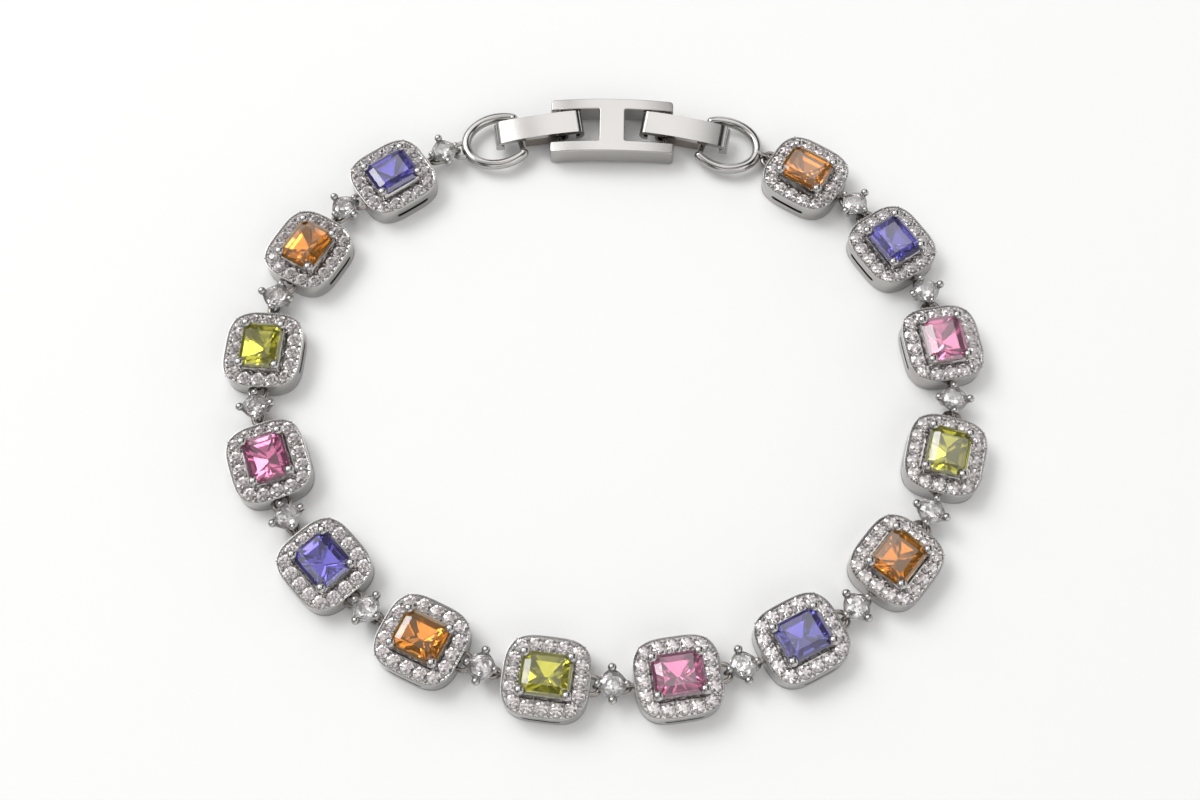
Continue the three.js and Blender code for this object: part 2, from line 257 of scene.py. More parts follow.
def even_out(obj: Object, angle: float) -> None:
    """Shades an object smooth as soften does, and keeps its broad faces flat."""
    soften(obj, angle)
    apply_modifier(obj, "WEIGHTED_NORMAL", keep_sharp=True, weight=FLAT_WEIGHT)


def joined(objects: list[Object], name: str) -> Object:
    """Joins objects into one.

    Args:
        objects: The objects, of which the first keeps the others.
        name: The name of the result.

    Returns:
        The joined object.
    """
    clear_selection()
    for obj in objects:
        obj.select_set(True)
    bpy.context.view_layer.objects.active = objects[0]
    bpy.ops.object.join()
    objects[0].name = name
    objects[0].data.name = name
    return objects[0]


def added(name: str) -> Object:
    """Names the primitive that was just added and puts its place into its mesh.

    Args:
        name: The object's name.

    Returns:
        The object.
    """
    obj = bpy.context.object
    obj.name = name
    apply_place(obj)
    return obj


def box_piece(name: str, size: Vector, centre: Vector) -> Object:
    """Adds a block.

    Args:
        name: The object's name.
        size: Its length, width and height.
        centre: Its middle.

    Returns:
        The block.
    """
    clear_selection()
    bpy.ops.mesh.primitive_cube_add(size=1, location=centre, scale=size)
    return added(name)


def ball_piece(
    diameter: float, centre: Vector, fineness: tuple[int, int], height: float = 1.0,
) -> Object:
    """Adds a ball.

    Args:
        diameter: Its thickness.
        centre: Its middle.
        fineness: The number of its segments and of its rings.
        height: Its height as a share of its thickness.

    Returns:
        The ball.
    """
    clear_selection()
    segments, rings = fineness
    bpy.ops.mesh.primitive_uv_sphere_add(
        segments=segments, ring_count=rings, radius=diameter / 2, location=centre,
        scale=(1, 1, height))
    return added("ball")


def cone_piece(foot: float, head: float, low: Vector, high: float, sides: int) -> Object:
    """Adds an upright cone or post.

    Args:
        foot: Its thickness at the bottom.
        head: Its thickness at the top.
        low: The middle of its bottom.
        high: The height of its top.
        sides: The number of its sides.

    Returns:
        The cone.
    """
    clear_selection()
    bpy.ops.mesh.primitive_cone_add(
        vertices=sides, radius1=foot / 2, radius2=head / 2, depth=high - low.z,
        location=(low.x, low.y, (low.z + high) / 2))
    return added("post")


def rod_piece(name: str, diameter: float, length: float, centre: Vector) -> Object:
    """Adds a round rod that lies across a piece.

    Args:
        name: The object's name.
        diameter: Its thickness.
        length: Its length along Y.
        centre: Its middle.

    Returns:
        The rod with softened ends.
    """
    clear_selection()
    bpy.ops.mesh.primitive_cylinder_add(
        vertices=ROD_SIDES, radius=diameter / 2, depth=length, location=centre,
        rotation=(math.pi / 2, 0, 0))
    rod = added(name)
    round_edges(rod, diameter * ROD_EDGE, 3)
    soften(rod, PLATE_SHADE)
    return rod


def extruded(name: str, profile: list[Point], width: float) -> Object:
    """Extrudes a side view across its width.

    Args:
        name: The object's name.
        profile: The corners of the side view, along X and up.
        width: The width along Y, which is centred.

    Returns:
        The closed solid.
    """
    clear_selection()
    bpy.ops.mesh.primitive_circle_add(vertices=len(profile), radius=1, fill_type="NGON")
    solid = bpy.context.object
    solid.name = name
    for vertex, (x, z) in zip(solid.data.vertices, profile, strict=True):
        vertex.co = (x, -width / 2, z)
    with editing(solid):
        bpy.ops.mesh.select_all(action="SELECT")
        bpy.ops.mesh.extrude_region_move(TRANSFORM_OT_translate={"value": (0, width, 0)})
        face_outward()
    return solid


def wire_piece(name: str, points: list[Vector], diameter: float, fineness: int) -> Object:
    """Draws a round wire along points and makes it a closed mesh.

    Args:
        name: The object's name.
        points: The points along the middle of the wire.
        diameter: The thickness of the wire.
        fineness: Blender's bevel resolution of its round.

    Returns:
        The wire as a mesh.
    """
    clear_selection()
    bpy.ops.curve.primitive_nurbs_path_add()
    path = bpy.context.object
    path.name = name
    path.data.splines.clear()
    spline = path.data.splines.new("POLY")
    spline.points.add(len(points) - 1)
    for point, place in zip(spline.points, points, strict=True):
        point.co = (*place, 1)
    path.data.bevel_depth = diameter / 2
    path.data.bevel_resolution = fineness
    path.data.use_fill_caps = True
    make_active(path)
    bpy.ops.object.convert(target="MESH")
    wire = bpy.context.object
    with editing(wire):
        face_outward(WIRE_WELD)
    return wire


# Finishes


def new_material(name: str) -> tuple[Material, NodeTree, Node]:
    """Makes a material with nodes.

    Args:
        name: The material's name.

    Returns:
        The material, its node tree and its Principled shader.
    """
    material = bpy.data.materials.new(name)
    material.use_nodes = True
    tree = material.node_tree
    return material, tree, tree.nodes["Principled BSDF"]


def add_noise(tree: NodeTree, scale: float, detail: float) -> Node:
    """Adds a noise texture that is fixed to the object.

    Args:
        tree: The node tree.
        scale: The number of waves in a metre.
        detail: The detail of the noise.

    Returns:
        The noise node.
    """
    place = tree.nodes.new("ShaderNodeTexCoord")
    noise = tree.nodes.new("ShaderNodeTexNoise")
    noise.inputs["Scale"].default_value = scale
    noise.inputs["Detail"].default_value = detail
    tree.links.new(place.outputs["Object"], noise.inputs["Vector"])
    return noise


def add_tint(tree: NodeTree, shader: Node, noise: Node, low: Triple, high: Triple) -> None:
    """Colours a shader by a noise.

    Args:
        tree: The node tree.
        shader: The shader.
        noise: The noise node.
        low: The colour where the noise is low.
        high: The colour where it is high.
    """
    tint = tree.nodes.new("ShaderNodeMix")
    tint.data_type = "RGBA"
    tint.inputs["A"].default_value = (*low, 1)
    tint.inputs["B"].default_value = (*high, 1)
    tree.links.new(noise.outputs["Fac"], tint.inputs["Factor"])
    tree.links.new(tint.outputs["Result"], shader.inputs["Base Color"])


def add_relief(tree: NodeTree, shader: Node, noise: Node, strength: float) -> None:
    """Roughens a shader's surface by a noise, a fiftieth of a millimetre deep.

    Args:
        tree: The node tree.
        shader: The shader.
        noise: The noise node.
        strength: The share of the relief that shows.
    """
    bump = tree.nodes.new("ShaderNodeBump")
    bump.inputs["Strength"].default_value = strength
    bump.inputs["Distance"].default_value = RELIEF_DEPTH * MM
    tree.links.new(noise.outputs["Fac"], bump.inputs["Height"])
    tree.links.new(bump.outputs["Normal"], shader.inputs["Normal"])


@dataclass(frozen=True)
class MetalFinish:
    """Polished white metal with faint cloudiness and fine wear."""

    name: str
    pale: Triple = (0.52, 0.505, 0.495)
    deep: Triple = (0.42, 0.405, 0.395)
    smooth: float = 0.1
    rough: float = 0.18
    wear: float = 0.05
    cloud_scale: float = 260.0
    grain_scale: float = 4200.0

    def material(self) -> Material:
        """Makes the finish.

        Returns:
            The material.
        """
        material, tree, shader = new_material(self.name)
        shader.inputs["Metallic"].default_value = 1.0
        cloud = add_noise(tree, self.cloud_scale, detail=4)
        add_tint(tree, shader, cloud, self.deep, self.pale)
        polish = tree.nodes.new("ShaderNodeMapRange")
        polish.inputs["To Min"].default_value = self.smooth
        polish.inputs["To Max"].default_value = self.rough
        tree.links.new(cloud.outputs["Fac"], polish.inputs["Value"])
        tree.links.new(polish.outputs["Result"], shader.inputs["Roughness"])
        grain = add_noise(tree, self.grain_scale, detail=2)
        add_relief(tree, shader, grain, self.wear)
        return material


@dataclass(frozen=True)
class GemFinish:
    """A clear cut stone with faint zones of colour, deeper where light goes further."""

    name: str
    light: Triple
    dark: Triple
    depth: Triple = (1.0, 1.0, 1.0)
    density: float = 0.0
    ior: float = 1.95
    clarity: float = 0.9
    zone_scale: float = 600.0

    def material(self) -> Material:
        """Makes the finish.

        Returns:
            The material.
        """
        material, tree, shader = new_material(self.name)
        shader.inputs["Transmission Weight"].default_value = self.clarity
        shader.inputs["IOR"].default_value = self.ior
        shader.inputs["Roughness"].default_value = 0.0
        zones = add_noise(tree, self.zone_scale, detail=1)
        add_tint(tree, shader, zones, self.dark, self.light)
        if self.density:
            inside = tree.nodes.new("ShaderNodeVolumeAbsorption")
            inside.inputs["Color"].default_value = (*self.depth, 1)
            inside.inputs["Density"].default_value = self.density
            outlet = tree.nodes["Material Output"]
            tree.links.new(inside.outputs["Volume"], outlet.inputs["Volume"])
        return material


@dataclass(frozen=True)
class TableFinish:
    """The pale matt table that the bracelet lies on."""

    name: str = "pale_table"
    colour: Triple = (0.912, 0.91, 0.908)
    roughness: float = 0.75
    fibre_scale: float = 900.0
    fibre_strength: float = 0.05

    def material(self) -> Material:
        """Makes the finish.

        Returns:
            The material.
        """
        material, tree, shader = new_material(self.name)
        shader.inputs["Base Color"].default_value = (*self.colour, 1)
        shader.inputs["Roughness"].default_value = self.roughness
        fibres = add_noise(tree, self.fibre_scale, detail=3)
        add_relief(tree, shader, fibres, self.fibre_strength)
        return material


SETTING_METAL = MetalFinish("setting_metal")
SPACER_METAL = MetalFinish("spacer_metal")
CLASP_METAL = MetalFinish(
    "clasp_metal", (0.49, 0.475, 0.465), (0.41, 0.395, 0.385), smooth=0.14, rough=0.24)
CORE_METAL = MetalFinish(
    "clasp_core_metal", (0.36, 0.32, 0.29), (0.2, 0.17, 0.15), smooth=0.25, rough=0.45, wear=0.3)
WIRE_METAL = MetalFinish("wire_metal", (0.36, 0.33, 0.31), (0.24, 0.215, 0.2), wear=0.1)
# Near-black, rough finish of the sheets on the slot floors: painted shade in the slots of the
# halo walls.
PAINTED_SLOT_SHADE = MetalFinish(
    "painted_slot_shade", (0.06, 0.05, 0.045), (0.03, 0.026, 0.024), smooth=0.45, rough=0.7, wear=0.3)
BORDER_STONE = GemFinish(
    "border_stone", (0.98, 0.925, 0.915), (0.81, 0.74, 0.74), ior=2.1, clarity=0.9)
ROUND_STONE = GemFinish(
    "round_stone", (1.0, 0.975, 0.97), (0.88, 0.84, 0.84), ior=2.1, clarity=0.86)
CENTRE_STONES = {
    StoneColour.BLUE: GemFinish(
        "blue_stone", (0.46, 0.43, 0.84), (0.28, 0.24, 0.68), (0.22, 0.16, 0.75), 240),
    StoneColour.ORANGE: GemFinish(
        "orange_stone", (1.0, 0.64, 0.2), (0.93, 0.47, 0.07), (0.95, 0.5, 0.08), 220),
    StoneColour.GREEN: GemFinish(
        "green_stone", (0.86, 0.84, 0.2), (0.68, 0.66, 0.08), (0.72, 0.7, 0.06), 200),
    StoneColour.PINK: GemFinish(
        "pink_stone", (1.0, 0.56, 0.76), (0.92, 0.38, 0.62), (0.88, 0.3, 0.56), 200),
}


# Cut stones


def in_turn(items: list) -> Iterator[tuple]:
    """Pairs each item of a closed round with the next."""
    return zip(items, items[1:] + items[:1], strict=True)


def spread(count: int, start: float = 0.0) -> tuple[float, ...]:
    """Gives a number of directions at even steps, in degrees."""
    return tuple(start + 360 * i / count for i in range(count))


def mirrored(*azimuths: float) -> tuple[float, ...]:
    """Repeats directions between 0 and 90 degrees in the four quarters, without doubles."""
    found = {round(a % 360, 3) for b in azimuths for a in (b, -b, 180 - b, 180 + b)}
    return tuple(sorted(found))


def rounded(reach: float, fullness: float, sides: int) -> list[Point]:
    """Gives the corners of a rounded outline that reaches furthest along X and Y.

    Args:
        reach: How far it reaches.
        fullness: Its exponent, from 1 for a square on its corner to 2 for a circle.
        sides: The number of corners.

    Returns:
        The corners, anticlockwise.
    """
    corners = []
    for i in range(sides):
        angle = math.tau * i / sides
        across, along = math.cos(angle), math.sin(angle)
        size = reach / (abs(across) ** fullness + abs(along) ** fullness) ** (1 / fullness)
        corners.append((size * across, size * along))
    return corners


def clipped_rectangle(length: float, width: float, clip: float) -> list[Point]:
    """Gives the corners of a rectangle with its four corners cut off.

    Args:
        length: Its size along X.
        width: Its size along Y.
        clip: The size of each cut.

    Returns:
        The corners, anticlockwise.
    """
    x, y = length / 2, width / 2
    quarter = [(x, y - clip), (x - clip, y)]
    half = quarter + [(-px, py) for px, py in reversed(quarter)]
    return half + [(-px, -py) for px, py in half]


@dataclass(frozen=True)
class Facets:
    """A ring of facets, all at one tilt in degrees, that starts a lift off the girdle."""

    azimuths: tuple[float, ...]
    tilt: float
    lift: float = 0.0


@dataclass
class CutStone:
    """A stone cut from a block by planes, facet by facet.

    The girdle lies at z = 0. Lengths are millimetres and angles are degrees.
    """

    name: str
    outline: list[Point]
    girdle: float
    crown: list[Facets]
    pavilion: list[Facets]
    table_height: float
    block: float = 2.4
    weld: float = 0.002

    def support(self, azimuth: float) -> float:
        """Gives how far the outline reaches in a direction."""
        across = Vector((math.cos(math.radians(azimuth)), math.sin(math.radians(azimuth))))
        return max(Vector(point).dot(across) for point in self.outline)

    def slice_off(self, place: Vector, way: Vector) -> None:
        """Takes away all of the stone in edit mode that lies past a plane."""
        bpy.ops.mesh.select_all(action="SELECT")
        bpy.ops.mesh.bisect(
            plane_co=place, plane_no=way, use_fill=True, clear_outer=True, threshold=1e-5)

    def cut(self, azimuth: float, tilt: float, height: float) -> None:
        """Cuts one facet through the stone in edit mode.

        Args:
            azimuth: The direction that the facet faces.
            tilt: Its tilt from the horizontal, past 90 degrees for one that faces down.
            height: The height at which it meets the outline.
        """
        turn, lean = math.radians(azimuth), math.radians(tilt)
        reach = self.support(azimuth)
        out = Vector((math.cos(turn), math.sin(turn), 0))
        self.slice_off(
            Vector((reach * out.x, reach * out.y, height)),
            Vector((math.sin(lean) * out.x, math.sin(lean) * out.y, math.cos(lean))))

    def build(self) -> Object:
        """Cuts the whole stone.

        Returns:
            The stone at the origin.
        """
        size = self.block * max(self.support(azimuth) for azimuth in range(0, 360, 15))
        stone = box_piece(self.name, Vector((size, size, size)), Vector((0, 0, 0)))
        with editing(stone):
            for start, end in in_turn(self.outline):
                edge = Vector(end) - Vector(start)
                self.cut(math.degrees(math.atan2(-edge.x, edge.y)), 90, 0)
            self.slice_off(Vector((0, 0, self.table_height)), Vector((0, 0, 1)))
            for ring in self.crown:
                for azimuth in ring.azimuths:
                    self.cut(azimuth, ring.tilt, self.girdle / 2 + ring.lift)
            for ring in self.pavilion:
                for azimuth in ring.azimuths:
                    self.cut(azimuth, 180 - ring.tilt, -self.girdle / 2 - ring.lift)
            face_outward(self.weld)
        return stone


# Places


@dataclass(frozen=True)
class Place:
    """Where a piece lies: its origin in millimetres and the way that it faces."""

    origin: Vector
    forward: Vector

    def matrix(self) -> Matrix:
        """Gives the transform from the piece's millimetres to the scene's metres.

        Returns:
            The matrix.
        """
        x = self.forward.normalized()
        y = Vector((0, 0, 1)).cross(x).normalized()
        turn = Matrix((x, y, x.cross(y))).transposed().to_4x4()
        return Matrix.Scale(MM, 4) @ Matrix.Translation(self.origin) @ turn


@dataclass
class Frame:
    """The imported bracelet, and the places that its pieces give."""

    packed: dict
    keel_depth: float = 0.05
    foot_depth: float = 0.02

    def lowest(self, node: str, depth: float) -> tuple[Vector, Vector]:
        """Gives the first and the last of a node's lowest corners.

        Args:
            node: The node's name.
            depth: How far above the very lowest corner they may lie.

        Returns:
            The two corners in millimetres.
        """
        corners = sorted({
            tuple(round(c / MM, 4) for c in vertex.co)
            for vertex in self.packed["nodes"][node].data.vertices
        })
        bottom = min(corner[2] for corner in corners)
        low = [Vector(corner) for corner in corners if corner[2] < bottom + depth]
        return low[0], low[-1]

    def anticlockwise(self, origin: Vector, along: Vector) -> Place:
        """Gives a place whose forward way runs round the bracelet.

        Args:
            origin: The piece's origin.
            along: Its axis, either way.

        Returns:
            The place.
        """
        way = Vector((along.x, along.y, 0)).normalized()
        if origin.x * way.y - origin.y * way.x < 0:
            way = -way
        return Place(Vector((origin.x, origin.y, 0)), way)

    def halo(self, number: int) -> Place:
        """Finds a halo link by its centre stone's keel."""
        first, last = self.lowest(f"stone_{number:02d}", self.keel_depth)
        return self.anticlockwise((first + last) / 2, last - first)

    def spacer(self, number: int) -> Place:
        """Finds a spacer by the feet of its two side posts.

        Args:
            number: The spacer's number.

        Returns:
            The spacer's place.
        """
        first, last = self.lowest(f"spacer_{number:02d}", self.foot_depth)
        across = last - first
        return self.anticlockwise((first + last) / 2, Vector((across.y, -across.x, 0)))

    def joint(self, side: Side) -> tuple[Vector, Vector]:
        """Finds the hinge of a lever.

        Args:
            side: The end of the clasp that it is on.

        Returns:
            Its middle in millimetres and its axis.
        """
        name = f"lever_{side.value}_hinge"
        found = next(joint for joint in self.packed["joints"] if joint["name"] == name)
        return Vector(found["pos_m"]) / MM, Vector(found["axis"])


def put(
    model: Object, name: str, place: Place, material: Material, body: Body,
    nodes: tuple[str, ...] = (),
) -> Object:
    """Puts a copy of a model in the scene, with a mesh of its own.

    Args:
        model: The model at the origin, in millimetres.
        name: The copy's name.
        place: Where it goes.
        material: Its finish.
        body: The body that it moves with.
        nodes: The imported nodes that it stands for.

    Returns:
        The copy.
    """
    mesh = model.data.copy()
    mesh.transform(place.matrix())
    mesh.materials.clear()
    mesh.materials.append(material)
    mesh.name = name
    piece = bpy.data.objects.new(name, mesh)
    bpy.context.collection.objects.link(piece)
    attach(piece, body.value)
    if nodes:
        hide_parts(*nodes)
    return piece


def discard(*models: Object) -> None:
    """Removes models that have been copied to their places."""
    for model in models:
        bpy.data.objects.remove(model)


# Wire joints


@dataclass
class Joints:
    """The bent wires that hold the links together, in millimetres."""

    rise: float = 0.95
    loop_wire: float = 0.44
    loop_reach: float = 0.79
    loop_bend: float = 0.72
    ring_wire: float = 0.34
    ring_reach: float = 0.36
    ring_bend: float = 0.8
    ring_clearance: float = 0.08
    embed: float = 0.2
    steps: int = 20
    fineness: int = 3

    def bent(self, half: float, reach: float, embed: float, bend: float) -> list[Point]:
        """Gives the route of a wire that leaves a wall and comes back to it.

        Args:
            half: Half its width.
            reach: How far it stands out.
            embed: How deep its ends go.
            bend: How square it is, from 1 for round down.

        Returns:
            Points out from the wall and across.
        """
        route = []
        for i in range(self.steps + 1):
            angle = math.pi * i / self.steps
            across = math.copysign(abs(math.cos(angle)) ** bend, -math.cos(angle)) * half
            route.append((-embed + (reach + embed) * abs(math.sin(angle)) ** bend, across))
        return route

    def loop(self, wall: float, width: float, embed: float) -> Object:
        """Builds a flat D loop at the front of a piece.

        Args:
            wall: How far the wall lies from the piece's origin.
            width: The loop's outer width.
            embed: How deep its ends go.

        Returns:
            The loop.
        """
        route = self.bent((width - self.loop_wire) / 2, self.loop_reach, embed, self.loop_bend)
        points = [Vector((wall + out, across, self.rise)) for out, across in route]
        return wire_piece("loop", points, self.loop_wire, self.fineness)

    def ring(self, wall: float, end: End, embed: float) -> Object:
        """Builds an upright staple ring.

        Args:
            wall: How far the wall lies from the piece's origin.
            end: The end of the piece that it is on.
            embed: How deep its ends go.

        Returns:
            The ring.
        """
        half = self.loop_wire / 2 + self.ring_clearance + self.ring_wire / 2
        route = self.bent(half, self.ring_reach + half, embed, self.ring_bend)
        points = [Vector((end.value * (wall + out), 0, self.rise + up)) for out, up in route]
        return wire_piece("ring", points, self.ring_wire, self.fineness)

    def pair(self, name: str, wall: float, width: float, embed: float) -> Object:
        """Builds the loop at the front of a link and the ring at its back.

        Args:
            name: The name of the result.
            wall: How far each wall lies from the link's origin.
            width: The loop's outer width.
            embed: How deep the loop's ends go.

        Returns:
            The two wires.
        """
        wires = [self.loop(wall, width, embed), self.ring(wall, End.BACK, self.embed)]
        for wire in wires:
            soften(wire, ROUND_SHADE)
        return joined(wires, name)


# Halo link


@dataclass
class HaloLink:
    """A cushion shaped setting with a border of small stones, in millimetres."""

    joints: Joints
    loop_width: float = 1.96
    length: float = 7.3
    width: float = 6.85
    height: float = 2.0
    sweep: float = 3.3
    sweep_steps: int = 16
    fullness: float = 0.63
    edge: float = 0.035
    rim: float = 0.06
    rim_slope: float = 0.05
    bed: float = 0.09
    wall: float = 0.5
    wall_slope: float = 0.001
    roof: float = 0.4
    slot: Vector = field(default_factory=lambda: Vector((3.3, 2.0, 0.4)))
    slot_rise: float = 0.95
    slot_round: float = 0.45
    lining: float = 0.03
    pave_diameter: float = 1.2
    pave_inset: float = 0.81
    pave_corner: float = 2.0
    pave_count: int = 16
    pave_girdle: float = 1.95
    pave_bore: float = 1.08
    drill_reach: float = 0.5
    drill_sides: int = 20
    bead: float = 0.27
    bead_reach: float = 0.37
    bead_rise: float = 0.02
    bead_height: float = 1.25
    bead_fineness: tuple[int, int] = (8, 5)
    milling_inset: float = 0.13
    milling_grain: float = 0.17
    milling_bulge: float = 0.12
    milling_sink: float = 0.01
    milling_steps: int = 6
    milling_fineness: tuple[int, int] = (6, 4)
    stone_length: float = 4.3
    stone_width: float = 3.6
    stone_clip: float = 0.6
    stone_lift: float = 0.04
    girdle_rise: float = 2.85
    prong_post: float = 0.38
    prong_ball: float = 0.86
    prong_flat: float = 0.7
    prong_lean: float = 0.1
    prong_rise: float = 0.43
    prong_sink: float = 0.04
    prong_inset: float = 0.1
    prong_sides: int = 16
    prong_fineness: tuple[int, int] = (20, 12)
    seat_wall: float = 0.26
    seat_inset: float = 0.2
    seat_edge: float = 0.05
    seat_rise: float = 2.55
    skirt: float = 0.42
    skirt_touch: float = 0.01

    @property
    def seat_foot(self) -> float:
        """The height at which the seat and its prongs start, inside the plate."""
        return self.height - self.bed - self.roof / 2

    def cushion(self, name: str, size: Vector, rise: float) -> Object:
        """Adds a block with the link's rounded corners.

        Args:
            name: The object's name.
            size: Its length, width and height.
            rise: The height of its middle.

        Returns:
            The block.
        """
        block = box_piece(name, size, Vector((0, 0, rise)))
        with editing(block):
            pick_along(block, Axis.Z, size.z / 2)
            bpy.ops.mesh.bevel(
                offset=self.sweep, segments=self.sweep_steps, profile=self.fullness)
        return block

    def seat_block(self, wall: float, height: float) -> Vector:
        """Gives the size of a block that is a wall larger than the seat's middle line."""
        inset = 2 * (self.prong_inset + self.seat_inset)
        return Vector((
            self.stone_length - inset + wall, self.stone_width - inset + wall, height))

    def shell(self) -> Object:
        """Builds the cushion shaped wall with its rim, bed and hollow back.

        Returns:
            The shell.
        """
        size = Vector((self.length, self.width, self.height))
        shell = self.cushion("shell", size, self.height / 2)
        with editing(shell):
            pick_level(shell, down=False)
            bpy.ops.mesh.inset(thickness=self.rim, depth=0)
            bpy.ops.mesh.inset(thickness=self.rim_slope, depth=-self.bed)
            pick_level(shell, up=False)
            bpy.ops.mesh.inset(thickness=self.wall, depth=0)
            bpy.ops.mesh.inset(
                thickness=self.wall_slope, depth=-(self.height - self.bed - self.roof))
        for side in (1, -1):
            middle = Vector((0, side * self.width / 2, self.slot_rise))
            cutter = box_piece("cutter", self.slot, middle)
            with editing(cutter):
                pick_along(cutter, Axis.Y, self.slot.y / 2)
                bpy.ops.mesh.bevel(offset=self.slot.z * self.slot_round, segments=3)
            carve(shell, cutter)
        round_edges(shell, self.edge, 2)
        carve(shell, self.drill())
        soften(shell, PLATE_SHADE)
        return shell

    def slot_shade(self) -> Object:
        """Builds near-black sheets on the floors of the two slots in the wall, which paint the
        shade in the slots.

        Returns:
            The linings at the link's origin.
        """
        floor = self.slot_rise - self.slot.z / 2
        size = Vector((self.length - self.lining, self.width - self.lining, self.lining))
        lining = self.cushion("lining", size, floor + self.lining / 4)
        with editing(lining):
            pick_level(lining)
            bpy.ops.mesh.inset(thickness=self.wall, depth=0)
            bpy.ops.mesh.bridge_edge_loops()
            face_outward()
        reach = self.slot.x - 2 * self.slot.z * self.slot_round
        size = Vector((reach, 2 * self.width, self.height))
        carve(lining, box_piece("window", size, Vector((0, 0, floor))), "INTERSECT")
        soften(lining, PLATE_SHADE)
        return lining

    def drill(self) -> Object:
        """Builds the cutter of the stones' openings through the plate.

        Returns:
            The cutter.
        """
        plate = self.height - self.bed
        opening = self.seat_block(-self.seat_wall, self.height)
        cutters = [box_piece("opening", opening, Vector((0, 0, plate)))]
        for x, y, _ in self.border():
            foot = Vector((x, y, plate - self.drill_reach))
            cutters.append(cone_piece(
                self.pave_bore, self.pave_bore, foot, plate + self.drill_reach, self.drill_sides))
        return joined(cutters, "drill")

    def border(self) -> list[Triple]:
        """Gives even steps along the middle line of the border.

        Returns:
            The places of the small stones, and the direction that each faces.
        """
        hx = self.length / 2 - self.pave_inset
        hy = self.width / 2 - self.pave_inset
        radius = self.pave_corner - self.pave_inset
        side, arc = hy - radius, math.pi / 2 * radius
        quarter = side + arc + (hx - radius)
        steps = self.pave_count // 4
        places = [(0.0, hy, math.pi / 2), (0.0, -hy, -math.pi / 2)]
        for i in range(steps):
            way = quarter * i / steps
            if way < side:
                x, y, face = hx, way, 0.0
            elif way < side + arc:
                face = (way - side) / radius
                x, y = hx - radius + radius * math.cos(face), side + radius * math.sin(face)
            else:
                x, y, face = hx - radius - (way - side - arc), hy, math.pi / 2
            places += [(x, y, face), (-x, -y, face + math.pi)]
            if i:
                places += [(x, -y, -face), (-x, y, math.pi - face)]
        return sorted(places, key=lambda place: math.atan2(place[1], place[0]))

    def beads(self) -> list[Object]:
        """Builds the grains of metal that hold the small stones, two between each pair.

        Returns:
            The grains.
        """
        grains = []
        for (x, y, _), (nx, ny, _) in in_turn(self.border()):
            middle = Vector(((x + nx) / 2, (y + ny) / 2, self.height + self.bead_rise))
            out = Vector((ny - y, x - nx, 0)).normalized() * self.pave_diameter * self.bead_reach
            grains += [
                ball_piece(self.bead, middle + out * side, self.bead_fineness, self.bead_height)
                for side in (1, -1)
            ]
        return grains

    def milling(self) -> list[Object]:
        """Builds the row of tiny grains inside the rim.

        Returns:
            The grains.
        """
        grains = []
        for (x, y, face), (nx, ny, next_face) in in_turn(self.border()):
            turn = (next_face - face + math.pi) % math.tau - math.pi
            for step in range(self.milling_steps):
                share = step / self.milling_steps
                angle = face + turn * share
                bulge = self.milling_bulge * share * (1 - share) * abs(turn)
                spot = Vector((x, y)).lerp(Vector((nx, ny)), share)
                spot += Vector((math.cos(angle), math.sin(angle))) * (
                    self.pave_inset - self.milling_inset + bulge)
                centre = Vector((*spot, self.height - self.milling_sink))
                grains.append(ball_piece(self.milling_grain, centre, self.milling_fineness))
        return grains

    def gallery(self) -> Object:
        """Builds the raised wall under the centre stone, with its foot drawn out.

        Returns:
            The gallery.
        """
        foot = self.seat_foot
        size = self.seat_block(self.seat_wall, self.seat_rise - foot)
        gallery = box_piece("gallery", size, Vector((0, 0, (self.seat_rise + foot) / 2)))

        def flare(point: Vector) -> Vector:
            """Draws out the foot of the outer faces.

            Args:
                point: A point of the gallery.

            Returns:
                Its new place.
            """
            past_x = abs(point.x) > size.x / 2 - self.skirt_touch
            past_y = abs(point.y) > size.y / 2 - self.skirt_touch
            if not (past_x or past_y) or point.z > self.height:
                return point
            return point + Vector((
                math.copysign(self.skirt, point.x), math.copysign(self.skirt, point.y), 0))

        with editing(gallery):
            pick_level(gallery)
            bpy.ops.mesh.inset(thickness=self.seat_wall, depth=0)
            bpy.ops.mesh.bridge_edge_loops()
            move_points(gallery, flare)
            face_outward()
        round_edges(gallery, self.seat_edge, 2)
        soften(gallery, PLATE_SHADE)
        return gallery

    def prongs(self) -> list[Object]:
        """Builds the four posts of the centre stone and the balls on them.

        Returns:
            The posts and the balls.
        """
        hx = self.stone_length / 2 - self.prong_inset
        hy = self.stone_width / 2 - self.prong_inset
        top, lean = self.girdle_rise + self.prong_rise, self.prong_lean
        pieces = []
        for sx, sy in ((1, 1), (-1, 1), (-1, -1), (1, -1)):
            foot = Vector((sx * hx, sy * hy, self.seat_foot))
            head = Vector((sx * (hx - lean), sy * (hy - lean), top - self.prong_sink))
            pieces += [
                cone_piece(self.prong_post, self.prong_post, foot, top, self.prong_sides),
                ball_piece(self.prong_ball, head, self.prong_fineness, self.prong_flat),
            ]
        for piece in pieces:
            soften(piece, SHARP_ANGLE)
        return pieces

    def metal(self) -> Object:
        """Builds the bright metal of the link.

        Returns:
            The setting at the origin.
        """
        grains = joined(self.beads() + self.milling(), "grains")
        soften(grains, ROUND_SHADE)
        return joined([self.shell(), grains, self.gallery(), *self.prongs()], "setting")

    def wires(self) -> Object:
        """Builds the loop and the ring that join the link to its neighbours."""
        return self.joints.pair(
            "link_wires", self.length / 2, self.loop_width, self.joints.embed)

